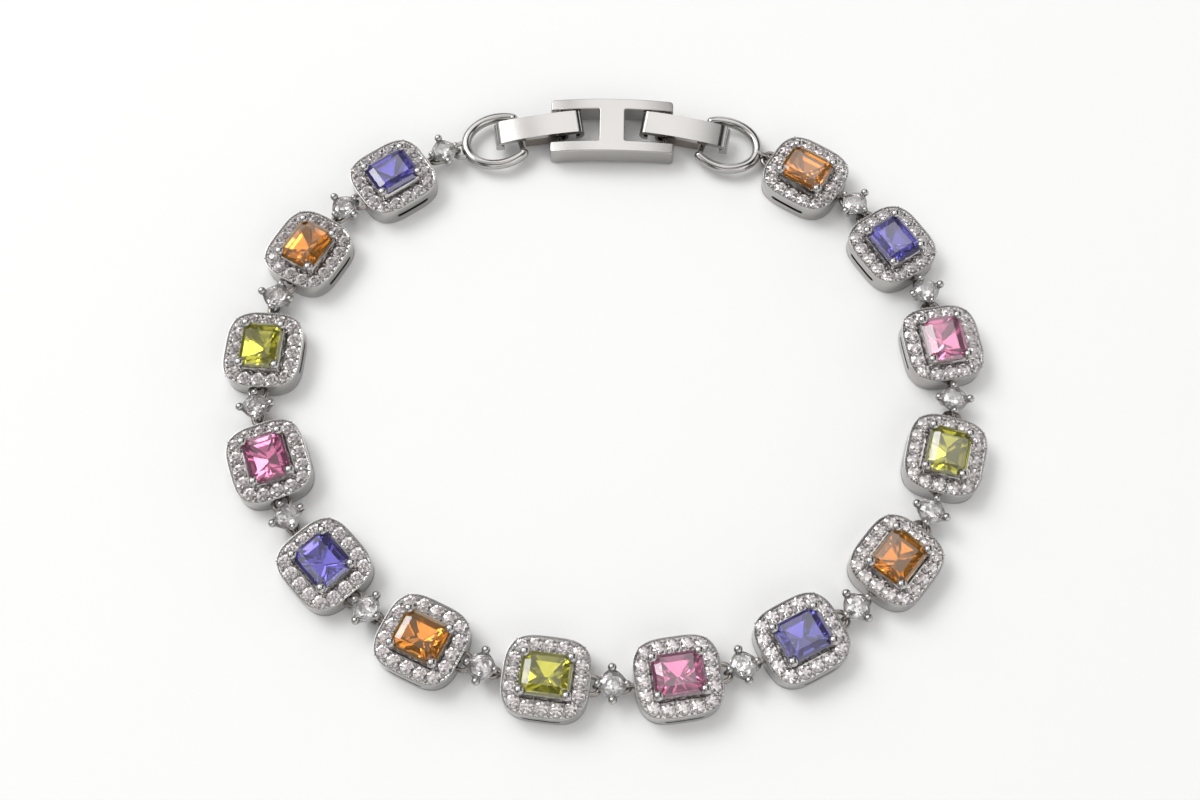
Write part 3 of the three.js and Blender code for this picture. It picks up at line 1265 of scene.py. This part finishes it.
    def pave(self) -> Object:
        """Cuts one small stone and sets a ring of them.

        Returns:
            The small stones of the link.
        """
        outline = rounded(self.pave_diameter / 2, fullness=2, sides=16)
        crown = [Facets(spread(8), 36), Facets(spread(8, 22.5), 25, 0.045)]
        pavilion = [Facets(spread(8), 41)]
        stone = CutStone(
            "small_stone", outline, girdle=0.04, crown=crown, pavilion=pavilion,
            table_height=0.24).build()
        copies = []
        for x, y, face in self.border():
            copy = bpy.data.objects.new("small_stone", stone.data.copy())
            place = Matrix.Translation((x, y, self.pave_girdle))
            copy.data.transform(place @ Matrix.Rotation(face, 4, "Z"))
            bpy.context.collection.objects.link(copy)
            copies.append(copy)
        discard(stone)
        return joined(copies, "pave")

    def centre_stone(self) -> Object:
        """Cuts the radiant centre stone.

        Returns:
            The stone at its height in the link.
        """
        outline = clipped_rectangle(self.stone_length, self.stone_width, self.stone_clip)
        crown = [
            Facets(mirrored(0, 90), 36), Facets(mirrored(45), 31),
            Facets(mirrored(24, 66), 27, 0.03), Facets(mirrored(0, 90), 21, 0.1),
        ]
        pavilion = [
            Facets(mirrored(0, 90), 76), Facets(mirrored(45), 74),
            Facets(mirrored(0, 90), 49, 0.3), Facets(mirrored(16, 74), 45, 0.33),
            Facets(mirrored(36, 54), 41, 0.37),
        ]
        stone = CutStone(
            "centre_stone", outline, girdle=0.08, crown=crown, pavilion=pavilion,
            table_height=0.46).build()
        rise = self.girdle_rise + self.stone_lift
        stone.data.transform(Matrix.Translation((0, 0, rise)))
        return stone


# Spacer


@dataclass
class Spacer:
    """A four prong basket that holds a round stone, in millimetres."""

    joints: Joints
    loop_width: float = 1.36
    diameter: float = 2.1
    corner_reach: float = 0.22
    fullness: float = 1.5
    girdle_rise: float = 1.84
    neck: float = 1.32
    neck_foot: float = 0.8448
    foot: float = 0.3
    edge: float = 0.05
    rim: float = 1.9
    rim_wall: float = 0.12
    rim_rise: float = 1.66
    bowl_inset: float = 0.6
    bowl_depth: float = 0.95
    post: float = 0.46
    post_edge: float = 0.1
    post_foot: float = 0.62
    post_lean: float = 0.6
    side_reach: float = 0.16
    ball: float = 0.58
    side_ball: float = 0.74
    ball_neck: float = 0.8
    ball_flat: float = 0.9
    ball_rise: float = 0.28
    basket_sides: int = 24
    post_sides: int = 16
    ball_fineness: tuple[int, int] = (16, 10)
    bite: float = 0.07

    def basket(self) -> Object:
        """Builds the tapered basket under the stone.

        Returns:
            The basket.
        """
        rise = self.joints.rise
        low = Vector((0, 0, self.foot))
        basket = cone_piece(self.neck_foot, self.neck, low, rise, self.basket_sides)
        with editing(basket):
            pick_level(basket, down=False)
            bpy.ops.mesh.extrude_region_move(
                TRANSFORM_OT_translate={"value": (0, 0, self.rim_rise - rise)})
            bpy.ops.transform.resize(value=(self.rim / self.neck, self.rim / self.neck, 1))
            bpy.ops.mesh.inset(thickness=self.rim_wall, depth=0)
            bpy.ops.mesh.inset(thickness=self.bowl_inset, depth=-self.bowl_depth)
        round_edges(basket, self.edge, 2, PLATE_SHADE)
        soften(basket, PLATE_SHADE)
        return basket

    def prong(self, turn: int) -> list[Object]:
        """Builds a long claw at the side or a short prong along the string.

        Args:
            turn: Its quarter turn, which is odd for a side claw.

        Returns:
            The post and its ball.
        """
        is_side = turn % 2 == 1
        foot, knob = (self.post_foot, self.side_ball) if is_side else (self.rim_rise, self.ball)
        reach = self.diameter / 2 + self.post / 2 - self.bite + is_side * self.side_reach
        tip = self.girdle_rise + self.ball_rise
        out = Vector((math.cos(math.pi / 2 * turn), math.sin(math.pi / 2 * turn), 0))
        low = out * reach + Vector((0, 0, foot))
        post = cone_piece(self.post, knob * self.ball_neck, low, tip, self.post_sides)
        if is_side:
            with editing(post):
                pick_level(post, up=False)
                bpy.ops.transform.translate(value=-out * self.post_lean)
        round_edges(post, self.post_edge, 3)
        centre = out * reach + Vector((0, 0, tip))
        pieces = [post, ball_piece(knob, centre, self.ball_fineness, self.ball_flat)]
        for piece in pieces:
            soften(piece, PRONG_SHADE)
        return pieces

    def metal(self) -> Object:
        """Builds the bright metal of the spacer."""
        prongs = [piece for turn in range(4) for piece in self.prong(turn)]
        return joined([self.basket(), *prongs], "basket")

    def wires(self) -> Object:
        """Builds the loop and the ring that join the spacer to its neighbours."""
        return self.joints.pair("spacer_wires", self.neck / 2, self.loop_width, self.neck / 2)

    def stone(self) -> Object:
        """Cuts the round brilliant.

        Returns:
            The stone at its height in the spacer.
        """
        outline = rounded(self.diameter / 2 + self.corner_reach, self.fullness, sides=32)
        crown = [Facets(spread(8), 36), Facets(spread(8, 22.5), 25, 0.08)]
        pavilion = [Facets(spread(8), 41)]
        stone = CutStone(
            "round_stone", outline, girdle=0.05, crown=crown, pavilion=pavilion,
            table_height=0.4).build()
        stone.data.transform(Matrix.Translation((0, 0, self.girdle_rise)))
        return stone


# Clasp


@dataclass
class Clasp:
    """The double fold over clasp, in millimetres."""

    joints: Joints
    loop_width: float = 1.96
    ring_depth: float = 5.1
    ring_width: float = 5.1
    ring_centre: float = 0.38
    ring_wire: float = 0.94
    ring_steps: int = 144
    ring_fineness: int = 4
    tip_fineness: tuple[int, int] = (20, 12)
    pin: float = 0.5
    pin_drop: float = 0.2
    edge: float = 0.11
    frame_length: float = 11.7
    frame_width: float = 5.8
    frame_thickness: float = 2.0
    frame_corner: float = 0.35
    window_corner: float = 0.18
    window_height: float = 9.0
    arch: float = 0.45
    arch_steps: int = 26
    rail: float = 1.15
    crossbar: float = 2.4
    pin_span: float = 10.0
    pin_rise: float = 1.35
    lever_span: float = 4.0
    lever_overhang: float = 2.25
    lever_width: float = 2.35
    lever_plate: float = 0.45
    lever_top: float = 1.3
    lever_arch: float = 0.28
    lever_end: float = 1.45
    lever_lip: float = 0.8
    lever_bore: float = 0.95
    lever_mouth: float = 1.1
    inner_turn: float = 0.6
    inner_foot: float = 0.55
    outer_turn: float = 1.05
    outer_foot: float = 0.25
    turn_steps: int = 6
    top_steps: int = 16
    under_steps: int = 8
    core_width: float = 1.75
    core_bite: float = 0.75
    core_edge: float = 0.05
    barrel_wall: float = 0.28

    def frame(self) -> Object:
        """Builds the arched H of the clasp with the two hinge pins.

        Returns:
            The frame, with its middle at the origin.
        """
        half = self.frame_length / 2
        size = Vector((self.frame_length, self.frame_width, self.frame_thickness))
        frame = box_piece("frame", size, Vector((0, 0, self.frame_thickness / 2)))
        with editing(frame):
            pick_along(frame, Axis.Z, self.frame_thickness / 2)
            bpy.ops.mesh.bevel(offset=self.frame_corner, segments=5)
            for i in range(1, self.arch_steps):
                bpy.ops.mesh.select_all(action="SELECT")
                station = -half + self.frame_length * i / self.arch_steps
                bpy.ops.mesh.bisect(plane_co=(station, 0, 0), plane_no=(1, 0, 0))
        window = Vector((half, self.frame_width - 2 * self.rail, self.window_height))
        for end in (1, -1):
            middle = Vector((end * (self.crossbar + half) / 2, 0, self.frame_thickness / 2))
            cutter = box_piece("cutter", window, middle)
            with editing(cutter):
                pick_along(cutter, Axis.Z, self.frame_thickness / 2)
                bpy.ops.mesh.bevel(offset=self.window_corner, segments=4)
            carve(frame, cutter)
        with editing(frame):
            move_points(frame, lambda point: point + Vector((
                0, 0, self.arch * (1 - (point.x / half) ** 2))))
        round_edges(frame, self.edge, 3)
        even_out(frame, CLASP_SHADE)
        pins = [
            rod_piece("hinge_pin", self.pin, self.frame_width - self.rail,
                      Vector((end * self.pin_span / 2, 0, self.pin_rise)))
            for end in (1, -1)
        ]
        return joined([frame, *pins], "frame")

    def lever_cover(self) -> Object:
        """Builds the bright cover of a lever, with both ends turned down.

        Returns:
            The cover, with its hinge at the origin.
        """
        inner, outer = -self.lever_overhang, self.lever_span + self.lever_overhang
        middle, half = (inner + outer) / 2, (outer - inner) / 2
        bottom, slab = self.lever_top - self.lever_end, self.lever_plate
        near, far = self.inner_turn, self.outer_turn

        def rise(x: float) -> float:
            """Gives the height of the cover at a place along it."""
            return self.lever_top - self.lever_arch * ((x - middle) / half) ** 2

        def corner(x: float, z: float, radius: float, start: float) -> list[Point]:
            """Gives a quarter turn round a middle."""
            angles = [
                math.radians(start + 90 * i / self.turn_steps)
                for i in range(self.turn_steps + 1)
            ]
            return [(x + radius * math.cos(a), z + radius * math.sin(a)) for a in angles]

        step = (outer - inner - near - far) / self.top_steps
        along = [outer - far - step * i for i in range(1, self.top_steps)]
        step = 2 * (half - slab) / self.under_steps
        under = [outer - slab - step * i for i in range(self.under_steps + 1)]
        profile = [
            *corner(outer - self.outer_foot, bottom + self.outer_foot, self.outer_foot, -90),
            *corner(outer - far, rise(outer - far) - far, far, 0),
            *((x, rise(x)) for x in along),
            *corner(inner + near, rise(inner + near) - near, near, 90),
            *corner(inner + self.inner_foot, bottom + self.inner_foot, self.inner_foot, 180),
            (inner + self.lever_lip, bottom), (inner + self.lever_lip, bottom + slab),
            (inner + slab, bottom + slab),
            *((x, rise(x) - slab) for x in reversed(under)),
            (outer - self.lever_lip, bottom + slab), (outer - self.lever_lip, bottom),
        ]
        cover = extruded("cover", profile, self.lever_width)
        round_edges(cover, self.edge, 3)
        even_out(cover, CLASP_SHADE)
        return cover

    def lever_core(self) -> Object:
        """Builds the narrow body under a lever's cover, with its hinge bore.

        Returns:
            The body, with its hinge at the origin.
        """
        barrel = self.lever_bore / 2 + self.barrel_wall
        mouth = self.lever_span - self.lever_mouth / 2
        top = self.lever_top - self.lever_plate * self.core_bite - self.lever_arch / 2
        foot = [
            (barrel * math.cos(math.radians(angle)), barrel * math.sin(math.radians(angle)))
            for angle in range(180, 271, 15)
        ]
        profile = [*foot, (mouth, -barrel), (mouth, top), (-barrel, top)]
        core = extruded("core", profile, self.core_width)
        carve(core, rod_piece("drill", self.lever_bore, 2 * self.lever_width, Vector((0, 0, 0))))
        round_edges(core, self.core_edge, 2)
        even_out(core, CLASP_SHADE)
        return core

    def horseshoe(self) -> Object:
        """Builds the round wire of a clasp ring with its pin.

        Returns:
            The wire, with its pin at the origin.
        """
        centre = self.ring_depth * self.ring_centre
        reach = self.ring_depth - centre
        start = math.acos(-centre / reach)
        points = []
        for i in range(self.ring_steps + 1):
            angle = start * (2 * i / self.ring_steps - 1)
            across = self.ring_width / 2 * math.sin(angle)
            points.append(Vector((centre + reach * math.cos(angle), across, 0)))
        half = Vector((0, points[-1].y, 0))
        wires = [
            wire_piece("shoe", points, self.ring_wire, self.ring_fineness),
            wire_piece("rod", [-half, half], self.pin, self.joints.fineness),
            *(
                ball_piece(self.ring_wire, tip, self.tip_fineness)
                for tip in (points[0], points[-1])
            ),
        ]
        for wire in wires:
            soften(wire, ROUND_SHADE)
        return joined(wires, "horseshoe")

    def ring(self, side: Side) -> Object:
        """Builds one clasp ring with the joint on its outer end.

        Args:
            side: The end of the clasp that it is on.

        Returns:
            The ring, with its pin at the origin.
        """
        wall = self.ring_depth + self.ring_wire / 2
        if side == Side.LEFT:
            joint = self.joints.loop(wall, self.loop_width, self.joints.embed)
        else:
            joint = self.joints.ring(wall, End.FRONT, self.ring_wire / 2)
        joint.data.transform(Matrix.Translation((0, 0, -self.joints.rise)))
        soften(joint, ROUND_SHADE)
        return joined([self.horseshoe(), joint], "clasp_ring")

    def lever_way(self, axis: Vector) -> Vector:
        """Gives the way that a lever points, out from the frame and a little down.

        Args:
            axis: The hinge's axis.

        Returns:
            The way from the hinge to the pin of the clasp ring.
        """
        outward = Vector((0, 0, 1)).cross(axis).normalized()
        span = math.sqrt(self.lever_span ** 2 - self.pin_drop ** 2)
        return outward * span - Vector((0, 0, self.pin_drop))


# The studio


@dataclass(frozen=True)
class SoftLight:
    """A square soft light that faces the bracelet, in millimetres and watts."""

    name: str
    place: Triple
    size: float
    power: float

    def build(self) -> None:
        """Adds the light to the scene."""
        data = bpy.data.lights.new(self.name, "AREA")
        data.shape = "SQUARE"
        data.size = self.size * MM
        data.energy = self.power
        light = bpy.data.objects.new(self.name, data)
        place = Vector(self.place)
        light.location = place * MM
        light.rotation_euler = (-place).to_track_quat("-Z", "Y").to_euler()
        bpy.context.collection.objects.link(light)


@dataclass
class Studio:
    """The table, the lights and the camera, in millimetres and degrees."""

    target: Vector = field(default_factory=lambda: Vector((-0.34, -2.09, 3.2)))
    elevation: float = 66.9
    distance: float = 135.8
    focal_pixels: float = 1555.0
    frame_pixels: float = 1200.0
    sensor: float = 36.0
    clip_start: float = 10.0
    table_size: float = 3000.0
    table_drop: float = 0.02
    lights: tuple[SoftLight, ...] = (
        SoftLight("softbox", (-190, 270, 620), 780, 1.0),
        SoftLight("key", (-900, 630, 1200), 900, 12.4),
        SoftLight("fill", (500, -700, 1100), 900, 1.6),
    )
    panel_scale: float = 2.0
    panel_detail: float = 0.5
    panel_shift: Triple = (0.3, 0.1, 0.0)
    panel_stops: tuple[Point, ...] = ((0.41, 0.06), (0.46, 0.3), (0.51, 0.9), (0.55, 2.2))
    panel_warmth: float = 0.99
    sky_strength: float = 0.6

    def table(self) -> None:
        """Lays the pale table."""
        clear_selection()
        bpy.ops.mesh.primitive_plane_add(
            size=self.table_size * MM, location=(0, 0, -self.table_drop * MM))
        table = added("table")
        table.data.materials.append(TableFinish().material())

    def sky(self) -> None:
        """Surrounds the scene with soft panels and darker gaps, which the stones break up."""
        world = bpy.data.worlds.new("studio")
        world.use_nodes = True
        bpy.context.scene.world = world
        tree = world.node_tree
        background = tree.nodes["Background"]
        place = tree.nodes.new("ShaderNodeTexCoord")
        shift = tree.nodes.new("ShaderNodeMapping")
        shift.inputs["Location"].default_value = self.panel_shift
        panels = tree.nodes.new("ShaderNodeTexNoise")
        panels.inputs["Scale"].default_value = self.panel_scale
        panels.inputs["Detail"].default_value = self.panel_detail
        ramp = tree.nodes.new("ShaderNodeValToRGB")
        stops = ramp.color_ramp.elements
        for _ in self.panel_stops[2:]:
            stops.new(0.5)
        for stop, (position, value) in zip(stops, self.panel_stops, strict=True):
            stop.position = position
            stop.color = (value, value, value * self.panel_warmth, 1)
        tree.links.new(place.outputs["Generated"], shift.inputs["Vector"])
        tree.links.new(shift.outputs["Vector"], panels.inputs["Vector"])
        tree.links.new(panels.outputs["Fac"], ramp.inputs["Fac"])
        tree.links.new(ramp.outputs["Color"], background.inputs["Color"])
        background.inputs["Strength"].default_value = self.sky_strength

    def camera(self) -> None:
        """Sets the camera at the photograph's angle."""
        data = bpy.data.cameras.new("camera")
        data.sensor_width = self.sensor
        data.lens = self.sensor * self.focal_pixels / self.frame_pixels
        data.clip_start = self.clip_start * MM
        lean = math.radians(self.elevation)
        back = Vector((0, -math.cos(lean), math.sin(lean)))
        camera = bpy.data.objects.new("camera", data)
        camera.location = (self.target + back * self.distance) * MM
        camera.rotation_euler = (-back).to_track_quat("-Z", "Y").to_euler()
        bpy.context.collection.objects.link(camera)
        bpy.context.scene.camera = camera

    def build(self) -> None:
        """Builds the whole studio."""
        self.camera()
        self.table()
        self.sky()
        for light in self.lights:
            light.build()
        bpy.context.scene.view_settings.view_transform = "Standard"


# The bracelet


@dataclass
class Bracelet:
    """The whole bracelet, built link by link."""

    frame: Frame
    joints: Joints = field(default_factory=Joints)
    links: int = 14

    def halos(self) -> None:
        """Dresses the halo links with their stones."""
        link = HaloLink(self.joints)
        metal, clear = SETTING_METAL.material(), BORDER_STONE.material()
        colours = {colour: finish.material() for colour, finish in CENTRE_STONES.items()}
        dark, shade = WIRE_METAL.material(), PAINTED_SLOT_SHADE.material()
        setting, pave, centre = link.metal(), link.pave(), link.centre_stone()
        wires, slot_shade = link.wires(), link.slot_shade()
        body, slot = Body.STRING, "setting_metal"
        for number in range(1, self.links + 1):
            place = self.frame.halo(number)
            colour = StoneColour((number - 1) % len(StoneColour))
            label, shown = f"{number:02d}", colour.name.lower()
            node = (f"halo_{label}",)
            put(setting, f"setting_{label}", place, metal, body, node)
            put(wires, f"link_wires_{label}", place, dark, body, node)
            # Near-black sheets on the slot floors: painted shade.
            put(slot_shade, f"slot_shade_sheets_{label}", place, shade, body)
            put(pave, f"border_stones_{label}", place, clear, body)
            put(centre, f"centre_stone_{label}", place, colours[colour], body,
                (f"stone_{label}",))
            LOG.info("halo link %s in %s", label, shown)
        discard(setting, slot_shade, pave, centre, wires)

    def spacers(self) -> None:
        """Dresses the spacers with their round stones."""
        spacer = Spacer(self.joints)
        metal, clear = SPACER_METAL.material(), ROUND_STONE.material()
        dark = WIRE_METAL.material()
        basket, stone, wires = spacer.metal(), spacer.stone(), spacer.wires()
        body, slot = Body.STRING, "spacer_metal"
        for number in range(1, self.links + 1):
            place = self.frame.spacer(number)
            label = f"{number:02d}"
            node = (f"spacer_{label}",)
            put(basket, f"basket_{label}", place, metal, body, node)
            put(wires, f"spacer_wires_{label}", place, dark, body, node)
            put(stone, f"round_stone_{label}", place, clear, body)
            LOG.info("spacer %s", label)
        discard(basket, stone, wires)

    def clasp(self) -> None:
        """Dresses the clasp."""
        clasp = Clasp(self.joints)
        metal, dark = CLASP_METAL.material(), CORE_METAL.material()
        body, slot = Body.STRING, "clasp_metal"
        (left, _), (right, _) = (self.frame.joint(side) for side in Side)
        middle = (left + right) / 2
        place = Place(Vector((middle.x, middle.y, 0)), left - right)
        frame, cover, core = clasp.frame(), clasp.lever_cover(), clasp.lever_core()
        put(frame, "polished_frame", place, metal, body, ("clasp_frame",))
        LOG.info("clasp frame")
        first, last = self.frame.spacer(1), self.frame.halo(self.links)
        back = Spacer(self.joints).neck / 2 + self.joints.ring_reach
        ahead = HaloLink(self.joints).length / 2 + self.joints.loop_reach
        ends = {
            Side.LEFT: first.origin - first.forward * back,
            Side.RIGHT: last.origin + last.forward * ahead,
        }
        for side in Side:
            hinge, axis = self.frame.joint(side)
            place = Place(hinge, clasp.lever_way(axis))
            lever, node = Body(f"lever_{side.value}"), (f"clasp_lever_{side.value}",)
            put(cover, f"lever_cover_{side.value}", place, metal, lever, node)
            put(core, f"lever_core_{side.value}", place, dark, lever, node)
            LOG.info("lever on the %s", side.value)
        for side, end in ends.items():
            hinge, axis = self.frame.joint(side)
            pin = hinge + clasp.lever_way(axis)
            place = Place(pin, end + Vector((0, 0, self.joints.rise)) - pin)
            ring, node = clasp.ring(side), f"clasp_ring_{side.value}"
            put(ring, f"polished_{node}", place, metal, body, (node,))
            discard(ring)
            LOG.info("clasp ring on the %s", side.value)
        discard(frame, cover, core)

    def build(self) -> None:
        """Builds every piece of the bracelet."""
        self.halos()
        self.spacers()
        self.clasp()


def main() -> None:
    """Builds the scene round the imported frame."""
    logging.basicConfig(level=logging.INFO, format="%(name)s: %(message)s")
    bpy.ops.object.select_all(action="SELECT")
    bpy.ops.object.delete()
    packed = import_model()
    clear_selection()
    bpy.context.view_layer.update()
    Studio().build()
    Bracelet(Frame(packed)).build()


if __name__ == "__main__":
    main()
